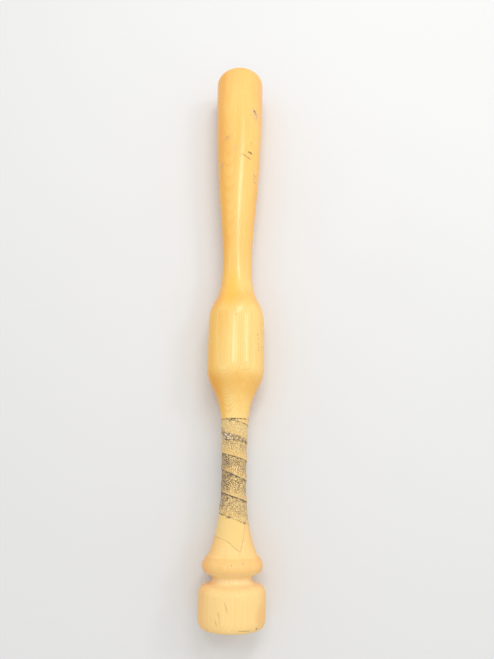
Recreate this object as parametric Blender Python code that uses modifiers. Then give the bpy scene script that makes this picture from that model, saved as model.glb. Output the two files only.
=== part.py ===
"""A short wooden training bat with a wound grip, in metres.

The bat lies on its side. Its axis is the Y axis, the centre of the knob's flat end is the origin,
and the barrel's tip points along +Y.
"""

import math

import bmesh
import bpy
import numpy as np

MM = 0.001

# The wood, from the knob's end to the tip: the length of each stretch
KNOB_RIM_LENGTH = 9.1 * MM
KNOB_SIDE_LENGTH = 17.2 * MM
KNOB_SHOULDER_LENGTH = 12.8 * MM
BEAD_UNDERSIDE_LENGTH = 11.3 * MM
BEAD_TOP_LENGTH = 9.1 * MM
FLARE_LENGTH = 60.5 * MM
HANDLE_LENGTH = 65.5 * MM
LOWER_SHOULDER_LENGTH = 48.2 * MM
BULGE_LENGTH = 47.8 * MM
UPPER_SHOULDER_LENGTH = 66.8 * MM
BARREL_LENGTH = 248.7 * MM
TIP_LENGTH = 12.6 * MM

# The wood's radii
KNOB_RADIUS = 30.1 * MM
KNOB_RIM_WIDTH = 4.3 * MM
GROOVE_RADIUS = 17.8 * MM
BEAD_RADIUS = 27.7 * MM
CREASE_RADIUS = 21.95 * MM
HANDLE_RADIUS = 11.7 * MM
HANDLE_TOP_RADIUS = 13.95 * MM
BULGE_RADIUS = 29.2 * MM
NECK_RADIUS = 16.0 * MM
BARREL_RADIUS = 28.35 * MM

# How much the radius grows per metre of length where a stretch meets the next one at a slant
BEAD_SLANT_AT_CREASE = -1.0
FLARE_SLANT_AT_CREASE = -0.45
HANDLE_TOP_SLANT = 0.15
BARREL_END_SLANT = 0.01

# How square the tip's end is: 2 is an ellipse, and a larger number is nearer to a flat end
TIP_SQUARENESS = 2.4

# For which share of its length each bend keeps the direction it starts in and the one it ends in
KNOB_SHOULDER_BEND = (0.90, 0.58)
BEAD_UNDERSIDE_BEND = (0.39, 0.83)
BEAD_TOP_BEND = (0.33, 0.05)
FLARE_BEND = (0.24, 0.39)
HANDLE_BEND = (0.27, 0.18)
LOWER_SHOULDER_BEND = (0.55, 0.37)
UPPER_SHOULDER_BEND = (0.44, 0.73)
BARREL_BEND = (0.22, 0.59)

# The grip: one strip of cloth, wound upwards from the flare, each turn lapped over the last
STRIP_WIDTH = 25.0 * MM
STRIP_THICKNESS = 0.5 * MM
STRIP_CLEARANCE = 0.3 * MM
LAP_CLEARANCE = 0.15 * MM
STRIP_ABOVE_CREASE = 2.5 * MM
STRIP_BELOW_HANDLE_TOP = 4.5 * MM
TURN_ADVANCE = 18.0 * MM
START_DROOP = 8.1 * MM
START_DROOP_TURNS = 0.12
LAP_RAMP = 2.0 * MM
TAIL_WIDTH = 1.5 * MM
START_ANGLE = math.radians(20)
CUT_SLANT = math.radians(32)

# Number of flat sides round the axis. One of them faces down, so the bat rests on it.
SIDES = 32
SMOOTH_ANGLE = math.radians(35)

WOOD_COLOUR = (0.85, 0.57, 0.24, 1.0)
WOOD_ROUGHNESS = 0.35
CLOTH_COLOUR = (0.70, 0.52, 0.29, 1.0)
CLOTH_ROUGHNESS = 0.9

# A polygon's corners stand this much further out than its flat sides
CORNER_REACH = 1 / math.cos(math.pi / SIDES)
# Number of earlier turns that a turn of the strip lies on
TURNS_BELOW = max(math.ceil(STRIP_WIDTH / TURN_ADVANCE) - 1, 0)
# Outline points nearer than this to the axis become one point on it
MERGE_DISTANCE = 0.01 * MM


def bend(start, end, shares, slants=(0.0, 0.0), steps=8):
    """Points of a smooth curve between two (place, radius) stations, without the first station.

    The curve keeps its first and its last direction, given by the slants, for these shares of its length.
    """
    leave = shares[0] * (end[0] - start[0])
    arrive = shares[1] * (end[0] - start[0])
    handles = np.array(
        [
            start,
            (start[0] + leave, start[1] + slants[0] * leave),
            (end[0] - arrive, end[1] - slants[1] * arrive),
            end,
        ]
    )
    t = np.linspace(0, 1, steps + 1)[1:, None]
    weights = np.hstack([(1 - t) ** 3, 3 * (1 - t) ** 2 * t, 3 * (1 - t) * t**2, t**3])
    return weights @ handles


def rounded_rim(start, end, steps=5):
    """Points of a quarter ellipse that leaves start outwards and reaches end along the axis."""
    angle = np.linspace(0, math.pi / 2, steps + 1)[1:]
    place = end[0] + (start[0] - end[0]) * np.cos(angle)
    radius = start[1] + (end[1] - start[1]) * np.sin(angle)
    return np.column_stack([place, radius])


def rounded_end(start, end, steps=10):
    """Points between start and end of a dome with flattened crown, a quarter of a superellipse."""
    angle = np.linspace(0, math.pi / 2, steps + 1)[1:-1]
    place = start[0] + (end[0] - start[0]) * np.sin(angle) ** (2 / TIP_SQUARENESS)
    radius = start[1] * np.cos(angle) ** (2 / TIP_SQUARENESS)
    return np.column_stack([place, radius])


def stations():
    """Places of the ends of the stretches along the axis, by name."""
    lengths = {
        "rim": KNOB_RIM_LENGTH,
        "side": KNOB_SIDE_LENGTH,
        "groove": KNOB_SHOULDER_LENGTH,
        "bead": BEAD_UNDERSIDE_LENGTH,
        "crease": BEAD_TOP_LENGTH,
        "handle": FLARE_LENGTH,
        "handle_top": HANDLE_LENGTH,
        "bulge": LOWER_SHOULDER_LENGTH,
        "bulge_top": BULGE_LENGTH,
        "neck": UPPER_SHOULDER_LENGTH,
        "barrel": BARREL_LENGTH,
        "tip": TIP_LENGTH,
    }
    return dict(zip(lengths, np.cumsum(list(lengths.values()))))


def outline():
    """The turned outline from the knob's end to the tip, as rows of (place, radius)."""
    at = stations()
    rim_inner = (0.0, KNOB_RADIUS - KNOB_RIM_WIDTH)
    rim = (at["rim"], KNOB_RADIUS)
    side = (at["side"], KNOB_RADIUS)
    groove = (at["groove"], GROOVE_RADIUS)
    bead = (at["bead"], BEAD_RADIUS)
    crease = (at["crease"], CREASE_RADIUS)
    handle = (at["handle"], HANDLE_RADIUS)
    handle_top = (at["handle_top"], HANDLE_TOP_RADIUS)
    bulge = (at["bulge"], BULGE_RADIUS)
    bulge_top = (at["bulge_top"], BULGE_RADIUS)
    neck = (at["neck"], NECK_RADIUS)
    barrel = (at["barrel"], BARREL_RADIUS)
    tip = (at["tip"], 0.0)
    return np.vstack(
        [
            (0.0, 0.0),
            rim_inner,
            rounded_rim(rim_inner, rim),
            side,
            bend(side, groove, KNOB_SHOULDER_BEND),
            bend(groove, bead, BEAD_UNDERSIDE_BEND),
            bend(bead, crease, BEAD_TOP_BEND, (0.0, BEAD_SLANT_AT_CREASE), steps=6),
            bend(crease, handle, FLARE_BEND, (FLARE_SLANT_AT_CREASE, 0.0), steps=10),
            bend(handle, handle_top, HANDLE_BEND, (0.0, HANDLE_TOP_SLANT), steps=6),
            bend(handle_top, bulge, LOWER_SHOULDER_BEND, (HANDLE_TOP_SLANT, 0.0), steps=10),
            bulge_top,
            bend(bulge_top, neck, UPPER_SHOULDER_BEND, steps=12),
            bend(neck, barrel, BARREL_BEND, (0.0, BARREL_END_SLANT), steps=14),
            rounded_end(barrel, tip),
            tip,
        ]
    )


def principled(name, colour, roughness):
    """A material of one Principled BSDF."""
    material = bpy.data.materials.new(name)
    material.use_nodes = True
    shader = material.node_tree.nodes["Principled BSDF"]
    shader.inputs["Base Color"].default_value = colour
    shader.inputs["Roughness"].default_value = roughness
    shader.inputs["Metallic"].default_value = 0.0
    return material


def add_part(name, mesh, material, collection, parent):
    """A new object for the mesh, in the collection, under the parent."""
    part = bpy.data.objects.new(name, mesh)
    collection.objects.link(part)
    part.parent = parent
    mesh.materials.append(material)
    return part


def finish_shape(part):
    """Replaces the part's modifiers by the mesh that they make, shaded smooth."""
    graph = bpy.context.evaluated_depsgraph_get()
    mesh = bpy.data.meshes.new_from_object(part.evaluated_get(graph))
    part.modifiers.clear()
    part.data = mesh
    mesh.shade_smooth()
    mesh.set_sharp_from_angle(angle=SMOOTH_ANGLE)


def make_turned_bat(collection, parent):
    """The turned billet: the outline spun round the axis."""
    profile = outline()[::-1]
    points = [(radius * CORNER_REACH, 0.0, place) for place, radius in profile]
    edges = [(i, i + 1) for i in range(len(points) - 1)]
    mesh = bpy.data.meshes.new("turned_bat_outline")
    mesh.from_pydata(points, edges, [])
    wood = principled("wood", WOOD_COLOUR, WOOD_ROUGHNESS)
    part = add_part("turned_bat", mesh, wood, collection, parent)
    spin = part.modifiers.new("Spin", "SCREW")
    spin.axis = "Z"
    spin.steps = SIDES
    spin.render_steps = SIDES
    spin.use_merge_vertices = True
    spin.merge_threshold = MERGE_DISTANCE
    # Lays the spun axis along +Y and turns one flat side down
    part.rotation_euler = (-math.pi / 2, math.pi / SIDES, 0.0)
    return part


def clamp(value):
    """The value, kept between 0 and 1."""
    return min(max(value, 0.0), 1.0)


def strip_edges(turns, start):
    """Places of the strip's lower and upper edge after so many turns, before its top is trimmed."""
    even = start + START_DROOP + TURN_ADVANCE * turns
    droop = START_DROOP * math.exp(-max(turns, 0.0) / START_DROOP_TURNS)
    return even - droop, even + STRIP_WIDTH


def strip_lines(turns, start, top):
    """(place, height over the wood) of the lines that run along the strip, after so many turns."""
    low, upper = strip_edges(turns, start)
    high = min(upper, top)
    # Where the strip slips off the upper edge of a turn below, it comes down along a ramp
    slips = [strip_edges(turns - back, start)[1] + STRIP_CLEARANCE for back in range(TURNS_BELOW, 0, -1)]
    places = [low]
    for slip in slips:
        places += [slip, slip + LAP_RAMP]
    places += [(places[-1] + high) / 2, high]
    # No two lines meet, neither at the lower edge nor where the trimmed top cuts the ramps off
    distance = TAIL_WIDTH / len(places)
    for line in range(1, len(places) - 1):
        places[line] = max(places[line], places[line - 1] + distance)
    for line in range(len(places) - 2, 0, -1):
        places[line] = min(places[line], places[line + 1] - distance)
    # The strip lies on bare wood first, and steps up just before it meets its own start
    before_meeting = 1 - CUT_SLANT / math.tau - 1 / SIDES
    heights = [STRIP_CLEARANCE] * len(places)
    for back, slip in zip(range(TURNS_BELOW, 0, -1), slips):
        step_up = clamp((turns - back + 1 - before_meeting) * SIDES / 2 + 1)
        for line, place in enumerate(places):
            on_turn_below = step_up * (1 - clamp((place - slip) / LAP_RAMP))
            heights[line] += (STRIP_THICKNESS + LAP_CLEARANCE) * on_turn_below
    return list(zip(places, heights))


def make_grip_strip(collection, parent):
    """The wound strip: a lapped helical ribbon that follows the wood, thickened outwards."""
    at = stations()
    wood = outline()
    start = at["crease"] + STRIP_ABOVE_CREASE
    top = at["handle_top"] - STRIP_BELOW_HANDLE_TOP
    last_turn = (top - TAIL_WIDTH - start - START_DROOP) / TURN_ADVANCE
    sections = int(last_turn * SIDES)
    lines = len(strip_lines(0.0, start, top)) - 1
    ribbon = bmesh.new()
    bmesh.ops.create_grid(ribbon, x_segments=sections, y_segments=lines, size=0.5)
    for vertex in ribbon.verts:
        # The flat grid's left edge becomes the strip's end, so that its upper side faces outwards
        section = round((0.5 - vertex.co.x) * sections)
        line = round((0.5 + vertex.co.y) * lines)
        turns = section / SIDES - CUT_SLANT / math.tau * line / lines
        place, height = strip_lines(turns, start, top)[line]
        reach = (np.interp(place, wood[:, 0], wood[:, 1]) + height) * CORNER_REACH
        angle = START_ANGLE - turns * math.tau
        vertex.co = (reach * math.sin(angle), place, reach * math.cos(angle))
    mesh = bpy.data.meshes.new("grip_strip_ribbon")
    ribbon.to_mesh(mesh)
    ribbon.free()
    cloth = principled("cloth", CLOTH_COLOUR, CLOTH_ROUGHNESS)
    part = add_part("grip_strip", mesh, cloth, collection, parent)
    thicken = part.modifiers.new("Thicken", "SOLIDIFY")
    thicken.thickness = STRIP_THICKNESS
    thicken.offset = 1.0
    thicken.use_even_offset = True
    return part


def main():
    for old in list(bpy.data.objects):
        bpy.data.objects.remove(old)
    collection = bpy.data.collections.new("wooden_bat")
    bpy.context.scene.collection.children.link(collection)
    frame = bpy.data.objects.new("bat_frame", None)
    collection.objects.link(frame)
    parts = [make_turned_bat(collection, frame), make_grip_strip(collection, frame)]
    bpy.context.view_layer.update()
    for part in parts:
        finish_shape(part)


main()
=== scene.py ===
# %% [markdown]
# # A short turned bat with a wound grip
#
# This lesson dresses a plain model of a wooden training bat. The real bat is two pieces: one billet of
# pale hardwood, turned on a lathe, and one strip of beige cloth that is wound round its handle. The plain
# model has both as simple solids. Each step here makes one of them fine enough to look at closely, or
# gives it the finish of the real material.

# %% [markdown]
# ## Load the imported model
#
# The bat lies along the Y axis, with the middle of its knob's end at the origin. Nothing here moves
# these solids. They are what the fine pieces are measured from, so the fine pieces need no fitting.

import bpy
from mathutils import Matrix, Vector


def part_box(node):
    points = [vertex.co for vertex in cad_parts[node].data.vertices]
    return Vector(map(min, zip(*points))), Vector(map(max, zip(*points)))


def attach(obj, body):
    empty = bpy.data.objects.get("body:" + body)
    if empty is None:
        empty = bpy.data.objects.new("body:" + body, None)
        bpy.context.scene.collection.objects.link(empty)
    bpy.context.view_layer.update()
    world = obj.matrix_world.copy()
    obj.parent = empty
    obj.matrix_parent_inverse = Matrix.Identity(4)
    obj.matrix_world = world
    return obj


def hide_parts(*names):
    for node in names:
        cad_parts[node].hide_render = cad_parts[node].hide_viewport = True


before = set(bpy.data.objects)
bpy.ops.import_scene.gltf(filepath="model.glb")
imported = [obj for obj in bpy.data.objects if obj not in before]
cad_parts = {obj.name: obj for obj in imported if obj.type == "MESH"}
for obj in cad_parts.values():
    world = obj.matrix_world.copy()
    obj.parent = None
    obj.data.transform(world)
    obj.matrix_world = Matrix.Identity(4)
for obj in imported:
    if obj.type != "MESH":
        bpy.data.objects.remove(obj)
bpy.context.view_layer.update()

# %% [markdown]
# ## Tools for node trees
#
# Both the shapes and the finishes below are node trees, and writing each node out in full would hide
# what a tree does. So four small helpers do the typing: one adds a node of any kind and feeds its inputs,
# one adds a Math node, one joins several values by Math nodes of one kind, and one turns a range of
# numbers into a soft change from one value to another. They work the same way in a Geometry Nodes tree
# and in a material.

# %% Tools for node trees
import bpy


def add(tree, kind, feeds=(), **settings):
    """Adds a node, sets its properties, and feeds its inputs with values or other nodes' outputs."""
    node = tree.nodes.new(kind)
    for name, value in settings.items():
        setattr(node, name, value)
    pairs = feeds.items() if isinstance(feeds, dict) else enumerate(feeds)
    for key, value in pairs:
        if isinstance(value, bpy.types.NodeSocket):
            tree.links.new(value, node.inputs[key])
        else:
            node.inputs[key].default_value = value
    return node


def calc(tree, operation, *values):
    """The output of a Math node."""
    return add(tree, "ShaderNodeMath", values, operation=operation).outputs[0]


def fold(tree, operation, first, *others):
    """The values joined one after another by Math nodes of one kind."""
    for other in others:
        first = calc(tree, operation, first, other)
    return first


def ramp(tree, value, start, end, low=0.0, high=1.0):
    """A smooth change from low to high while the value goes from start to end."""
    feeds = (value, start, end, low, high)
    return add(tree, "ShaderNodeMapRange", feeds, interpolation_type="SMOOTHSTEP").outputs[0]


print("helpers ready: add, calc, fold, ramp")

# %% [markdown]
# ## Read the turner's profile
#
# A lathe makes a round body from one line, the profile. It could be typed in again, but the plain solid
# already holds it: each ring of its corners gives one place along the axis and one radius. The solid has
# flat sides, whose middles lie at the true radius, so a ring's corners are brought in by the cosine of
# half a side's angle. Reading the profile keeps the fine bat true to the plain one, whatever its size.

# %% Read the turner's profile
import math

import numpy as np

MM = 0.001
PLACE_DECIMALS = 5
ANGLE_DECIMALS = 3


def read_profile(node):
    """(place, radius) rows of a turned solid with flat sides, from its first end to its last."""
    corners = np.array([vertex.co for vertex in node.data.vertices])
    places = corners[:, 1].round(PLACE_DECIMALS)
    reach = np.hypot(corners[:, 0], corners[:, 2])
    ring = places == np.median(places)
    angles = np.arctan2(corners[ring, 0], corners[ring, 2])
    sides = len(np.unique(angles.round(ANGLE_DECIMALS)))
    to_flat_side = math.cos(math.pi / sides)
    rows = [(place, reach[places == place].max() * to_flat_side) for place in np.unique(places)]
    print("flat sides:", sides, "rings:", len(rows))
    return np.array([(rows[0][0], 0.0)] + rows)


profile = read_profile(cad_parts["turned_bat"])
print("length mm:", profile[-1, 0] / MM, "largest radius mm:", profile[:, 1].max() / MM)

# %% [markdown]
# ## Choose the way at each point of the profile
#
# The plain solid's profile is a chain of short straight runs. On a shiny surface each joint between two
# runs would show as a ring of light, so a curve is laid through the same points. First each point needs a
# direction, and its two neighbours suggest it. A run much longer than the next one is a straight stretch,
# such as the knob's side, and the curve leaves it straight on. A point that turns far more than the points
# on either side is a real edge that the turner cut, as in the crease above the bead, and there each run
# keeps its own direction.

# %% Choose the way at each point of the profile
EDGE_TURN = math.radians(12)
EDGE_SHARE = 3
STRAIGHT_SHARE = 2.5


def find_directions(runs, lengths):
    """The directions in which the curve leaves the start of each run and reaches its end."""
    aims = runs / lengths[:, None]
    headings = np.arctan2(runs[:, 1], runs[:, 0])
    turns = np.pad(np.abs(np.diff(headings)), 1)
    leave, arrive = aims.copy(), aims.copy()
    edges = 0
    for i in range(1, len(aims)):
        if turns[i] > max(EDGE_TURN, EDGE_SHARE * turns[i - 1], EDGE_SHARE * turns[i + 1]):
            edges += 1
            continue
        before, after = lengths[i - 1], lengths[i]
        if before > STRAIGHT_SHARE * after:
            aim = aims[i - 1]
        elif after > STRAIGHT_SHARE * before:
            aim = aims[i]
        else:
            aim = aims[i - 1] * after + aims[i] * before
        leave[i] = arrive[i - 1] = aim / np.linalg.norm(aim)
    print("real edges:", edges)
    return leave, arrive


runs = np.diff(profile, axis=0)
lengths = np.linalg.norm(runs, axis=1)
leave, arrive = find_directions(runs, lengths)

# %% [markdown]
# ## Smooth the profile
#
# A Hermite curve joins the points. Between two of them it starts and ends in the chosen directions, and
# four weights, which add up the two points and the two directions, give every place between. Steps of
# about two millimetres are finer than the eye can follow on the bat.

# %% Smooth the profile
ROW_SPACING = 2.0 * MM
FEWEST_STEPS = 3

fine_rows = [profile[:1]]
for i, length in enumerate(lengths):
    steps = max(FEWEST_STEPS, math.ceil(length / ROW_SPACING))
    t = np.linspace(0, 1, steps + 1)[1:, None]
    start = (2 * t**3 - 3 * t**2 + 1) * profile[i] + (t**3 - 2 * t**2 + t) * leave[i] * length
    end = (3 * t**2 - 2 * t**3) * profile[i + 1] + (t**3 - t**2) * arrive[i] * length
    fine_rows.append(start + end)
fine_profile = np.vstack(fine_rows)
print("rows:", len(fine_profile))

# %% [markdown]
# ## Begin and end a Geometry Nodes tree
#
# Three shapes below follow a rule: the turned wood, the wound strip and the loose threads. Each is a
# Geometry Nodes tree with named inputs, so its sizes can be changed in the modifier's panel too. All three
# end the same way. Realize Instances makes real faces of any copies, and Set Material gives them a finish.

# %% Begin and end a Geometry Nodes tree
def new_tree(name, inputs):
    """A Geometry Nodes tree with these named inputs, and its input sockets by name."""
    tree = bpy.data.node_groups.new(name, "GeometryNodeTree")
    tree.interface.new_socket("Geometry", in_out="OUTPUT", socket_type="NodeSocketGeometry")
    for label, kind in {"Geometry": "Geometry", **inputs}.items():
        tree.interface.new_socket(label, in_out="INPUT", socket_type="NodeSocket" + kind)
    return tree, tree.nodes.new("NodeGroupInput").outputs


def end_tree(tree, geometry, material):
    """Ends a tree: what it made becomes plain faces with one material."""
    real = add(tree, "GeometryNodeRealizeInstances", {"Geometry": geometry})
    dressed = add(tree, "GeometryNodeSetMaterial", {"Geometry": real.outputs[0], "Material": material})
    add(tree, "NodeGroupOutput", {"Geometry": dressed.outputs[0]})


print("helpers ready: new_tree, end_tree")

# %% [markdown]
# ## A lathe in Geometry Nodes
#
# A turned body follows one rule: every point of the profile goes round the axis. The tree below lays out
# a flat grid with one row for each point of the profile and one column for each step round the axis. It
# then looks up every grid point's place and radius in the profile and moves the point there. The seam and
# the two poles are merged, so the body is closed. A Screw modifier could do the same; the tree shows the
# rule itself, and its number of sides is one named input.
#
# A grid counts its points column by column, so a point's number divided by the rows gives its column. Half
# a step is added first, because the division could otherwise fall a hair short of a whole number.

# %% A lathe in Geometry Nodes
MERGE_DISTANCE = 0.002 * MM
HALF_A_STEP = 0.5


def lathe_tree():
    """The tree that spins the profile, given as a chain of points (radius, place, 0)."""
    tree, source = new_tree("lathe", {"Sides": "Int", "Material": "Material"})
    size = add(tree, "GeometryNodeAttributeDomainSize", {"Geometry": source["Geometry"]})
    rows = size.outputs["Point Count"]
    columns = calc(tree, "ADD", source["Sides"], 1)
    grid = add(tree, "GeometryNodeMeshGrid", {"Vertices X": columns, "Vertices Y": rows})
    index = add(tree, "GeometryNodeInputIndex").outputs[0]
    column = calc(tree, "FLOOR", calc(tree, "DIVIDE", calc(tree, "ADD", index, HALF_A_STEP), rows))
    row = calc(tree, "SUBTRACT", index, calc(tree, "MULTIPLY", column, rows))
    point = add(tree, "GeometryNodeInputPosition").outputs[0]
    feeds = {"Geometry": source["Geometry"], "Value": point, "Index": row}
    looked_up = add(tree, "GeometryNodeSampleIndex", feeds, data_type="FLOAT_VECTOR")
    radius, place, _ = add(tree, "ShaderNodeSeparateXYZ", [looked_up.outputs[0]]).outputs
    angle = calc(tree, "DIVIDE", calc(tree, "MULTIPLY", column, math.tau), source["Sides"])
    across = calc(tree, "MULTIPLY", radius, calc(tree, "SINE", angle))
    up = calc(tree, "MULTIPLY", radius, calc(tree, "COSINE", angle))
    goal = add(tree, "ShaderNodeCombineXYZ", [across, place, up]).outputs[0]
    spun = add(tree, "GeometryNodeSetPosition", {"Geometry": grid.outputs[0], "Position": goal})
    feeds = {"Geometry": spun.outputs[0], "Distance": MERGE_DISTANCE}
    closed = add(tree, "GeometryNodeMergeByDistance", feeds)
    smooth = add(tree, "GeometryNodeSetShadeSmooth", [closed.outputs[0]])
    end_tree(tree, smooth.outputs[0], source["Material"])
    return tree


billet_lathe = lathe_tree()
print("lathe:", len(billet_lathe.nodes), "nodes")

# %% [markdown]
# ## Turn the billet
#
# A tree works as a modifier on an object. Its inputs are set by their identifiers, then Blender evaluates
# the object, and the result is kept as a plain mesh without the modifier. 144 sides are enough for the rim
# of the knob, the widest place, to look round from close by.

# %% Turn the billet
SIDES = 144


def bake(piece):
    """Replaces the piece's modifiers by the plain mesh that they make."""
    graph = bpy.context.evaluated_depsgraph_get()
    made = piece.evaluated_get(graph)
    mesh = bpy.data.meshes.new_from_object(made, preserve_all_data_layers=True, depsgraph=graph)
    piece.modifiers.clear()
    piece.data = mesh
    return piece


def run_tree(name, tree, values, mesh=None):
    """A plain mesh object made by the tree from the given mesh and the values of its named inputs."""
    piece = bpy.data.objects.new(name, mesh or bpy.data.meshes.new(name))
    bpy.context.scene.collection.objects.link(piece)
    modifier = piece.modifiers.new(tree.name, "NODES")
    modifier.node_group = tree
    for socket in tree.interface.items_tree:
        if socket.in_out == "INPUT" and socket.name in values:
            modifier[socket.identifier] = values[socket.name]
    return bake(piece)


def chain(rows):
    """A mesh of points in a chain, each at (radius, place, 0)."""
    mesh = bpy.data.meshes.new("profile_chain")
    points = [(radius, place, 0.0) for place, radius in rows]
    mesh.from_pydata(points, [(i, i + 1) for i in range(len(points) - 1)], [])
    return mesh


hardwood = bpy.data.materials.new("pale_hardwood")
lathe_values = {"Sides": SIDES, "Material": hardwood}
turned_wood = run_tree("turned_wood", billet_lathe, lathe_values, chain(fine_profile))
print("turned wood:", len(turned_wood.data.polygons), "faces")

# %% [markdown]
# ## The path of the cloth strip
#
# The grip is one strip of cloth, 25 mm wide, wound up the handle in about six turns. Each turn laps over
# the top of the one below it, like a roof's slates upside down. The strip starts on the flare with a cut
# corner, climbs steeply while it finds its way round, then climbs evenly. A hand wound it, so no two turns
# are quite the same. Each pair of numbers says how many turns have passed and how many millimetres the
# strip's lower edge has climbed by then. A Float Curve node carries the pairs on one smooth line. It works
# with numbers from 0 to 1, so the turns are divided by all turns and the climb by the whole rise, which
# ends at the trimmed top.

# %% The path of the cloth strip
EDGE_PATH = [
    (0.0, 0.0), (0.05, 4.6), (0.11, 9.1), (0.18, 11.2), (0.87, 22.4), (1.04, 27.4), (1.23, 32.6),
    (1.85, 42.4), (2.04, 46.8), (2.21, 50.7), (2.97, 64.2), (3.12, 68.6), (3.23, 71.1), (3.83, 78.9),
    (4.05, 83.2), (4.22, 86.4), (4.98, 97.8), (5.16, 99.3), (5.23, 104.4), (5.93, 114.8), (6.10, 118.0),
]
ALL_TURNS = EDGE_PATH[-1][0]
STRIP_RISE = 119.1


def edge_curve(tree, share):
    """The share of the whole climb that the lower edge has made after this share of the turns."""
    curve = add(tree, "ShaderNodeFloatCurve", {"Factor": 1.0, "Value": share})
    points = curve.mapping.curves[0].points
    for number, (turn, height) in enumerate(EDGE_PATH):
        stop = (turn / ALL_TURNS, height / STRIP_RISE)
        if number == 0:
            points[0].location = stop
        elif turn == ALL_TURNS:
            points[len(points) - 1].location = stop
        else:
            points.new(*stop)
    for point in points:
        point.handle_type = "AUTO_CLAMPED"
    curve.mapping.update()
    return curve.outputs[0]


print("points on the path:", len(EDGE_PATH))

# %% [markdown]
# ## Both edges of the strip
#
# The upper edge runs one width of cloth above the lower one. At the start the strip is cut on a slant and
# lies wider, and this fades out within the first part of a turn. At the top it is trimmed level, so no
# edge goes above that line.

# %% Both edges of the strip
START_FLARE = 0.3
START_FLARE_TURNS = 0.15


def strip_edges(tree, source, turns):
    """The places of the strip's lower and upper edge after this many turns."""
    climbed = edge_curve(tree, calc(tree, "DIVIDE", turns, source["Turns"]))
    rise = calc(tree, "SUBTRACT", source["Top place"], source["Start place"])
    low = calc(tree, "MULTIPLY_ADD", climbed, rise, source["Start place"])
    since_start = calc(tree, "MAXIMUM", turns, 0.0)
    fading = calc(tree, "EXPONENT", calc(tree, "DIVIDE", since_start, -START_FLARE_TURNS))
    widening = calc(tree, "MULTIPLY_ADD", fading, START_FLARE, 1.0)
    high = calc(tree, "MULTIPLY_ADD", source["Width"], widening, low)
    return low, calc(tree, "MINIMUM", high, source["Top place"])


print("the strip's start is", round(1 + START_FLARE, 2), "times as wide as the rest")

# %% [markdown]
# ## Lay the cloth on the wood and over itself
#
# The handle has waists, so the strip can't lie at one radius. A ray from the bat's axis outwards finds how
# thick the wood is at each point, and the cloth lies there, whatever the handle's shape. Where a point also
# lies over the turn below, it is lifted by one thickness of cloth, which gives the soft ridge that shows on
# a real winding. The ridge runs out softly past the lower turn's upper edge and past its cut corner.

# %% Lay the cloth on the wood and over itself
CLOTH_GAP = 0.02 * MM
RAY_LENGTH = 0.1
RIDGE_RUN_OUT = 1.4 * MM
CORNER_RUN_OUT = 0.016


def wood_radius(tree, wood, axis, outward):
    """How far the wood reaches from a point of the axis in this direction."""
    shape = add(tree, "GeometryNodeObjectInfo", {"Object": wood}).outputs["Geometry"]
    feeds = {"Target Geometry": shape, "Source Position": axis, "Ray Direction": outward,
             "Ray Length": RAY_LENGTH}
    return add(tree, "GeometryNodeRaycast", feeds).outputs["Hit Distance"]


def lap_lift(tree, source, turns, place):
    """How far a point is lifted by the turn below it."""
    below = calc(tree, "SUBTRACT", turns, 1.0)
    _, high_below = strip_edges(tree, source, below)
    start_width = calc(tree, "MULTIPLY", source["Width"], 1 + START_FLARE)
    above_start = calc(tree, "SUBTRACT", place, source["Start place"])
    across_below = calc(tree, "DIVIDE", above_start, start_width)
    past_cut = calc(tree, "MULTIPLY_ADD", across_below, source["Cut lean"], below)
    past_corner = ramp(tree, past_cut, -CORNER_RUN_OUT, 0.0)
    under_edge = ramp(tree, calc(tree, "SUBTRACT", place, high_below), RIDGE_RUN_OUT, 0.0)
    on_below = calc(tree, "MULTIPLY", past_corner, under_edge)
    return calc(tree, "MULTIPLY", on_below, calc(tree, "ADD", source["Thickness"], CLOTH_GAP))


print("helpers ready: wood_radius, lap_lift")

# %% [markdown]
# ## Creases and a curled edge
#
# Cloth pulled round a handle isn't flat. It has low creases, and its lower edge stands off a little where
# hands have rubbed it. Two noises give both. The noise is read as if all the cloth lay at one radius,
# because a crease must not change with the lift of the cloth that carries it.

# %% Creases and a curled edge
PATTERN_RADIUS = 12 * MM
CREASE_SCALE = 170.0
CREASE_FLOOR = 0.35
CURL_SCALE = 420.0
CURL_REACH = 0.9 * MM


def noise(tree, vector, scale, detail=2.0, rough=0.5):
    """A smooth random pattern between 0 and 1."""
    feeds = {"Vector": vector, "Scale": scale, "Detail": detail, "Roughness": rough}
    return add(tree, "ShaderNodeTexNoise", feeds).outputs[0]


def combine(tree, operation, *vectors):
    """The vector output of a Vector Math node."""
    return add(tree, "ShaderNodeVectorMath", vectors, operation=operation).outputs[0]


def wrinkles(tree, source, outward, axis, from_edge):
    """The height of the creases and of the curled lower edge."""
    around = combine(tree, "MULTIPLY", outward, (PATTERN_RADIUS,) * 3)
    lying = combine(tree, "ADD", around, axis)
    creases = calc(tree, "SUBTRACT", noise(tree, lying, CREASE_SCALE, 3.0), CREASE_FLOOR)
    creases = calc(tree, "MAXIMUM", creases, 0.0)
    curl = calc(tree, "EXPONENT", calc(tree, "DIVIDE", from_edge, -CURL_REACH))
    curl = calc(tree, "MULTIPLY", curl, noise(tree, lying, CURL_SCALE, 1.0))
    return calc(tree, "MULTIPLY", calc(tree, "ADD", creases, curl), source["Wrinkle"])


print("helpers ready: noise, combine, wrinkles")

# %% [markdown]
# ## Where a point of the cloth goes
#
# A point of the cloth is known by how many turns have passed, its place along the bat, and how far it lies
# from the strip's lower edge. The turns give the direction in which it lies, seen from the axis. Its
# distance from the axis adds up from the wood's radius, the lift over the turn below, the creases, and a
# hair's gap that keeps the cloth from sinking into the wood.

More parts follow.
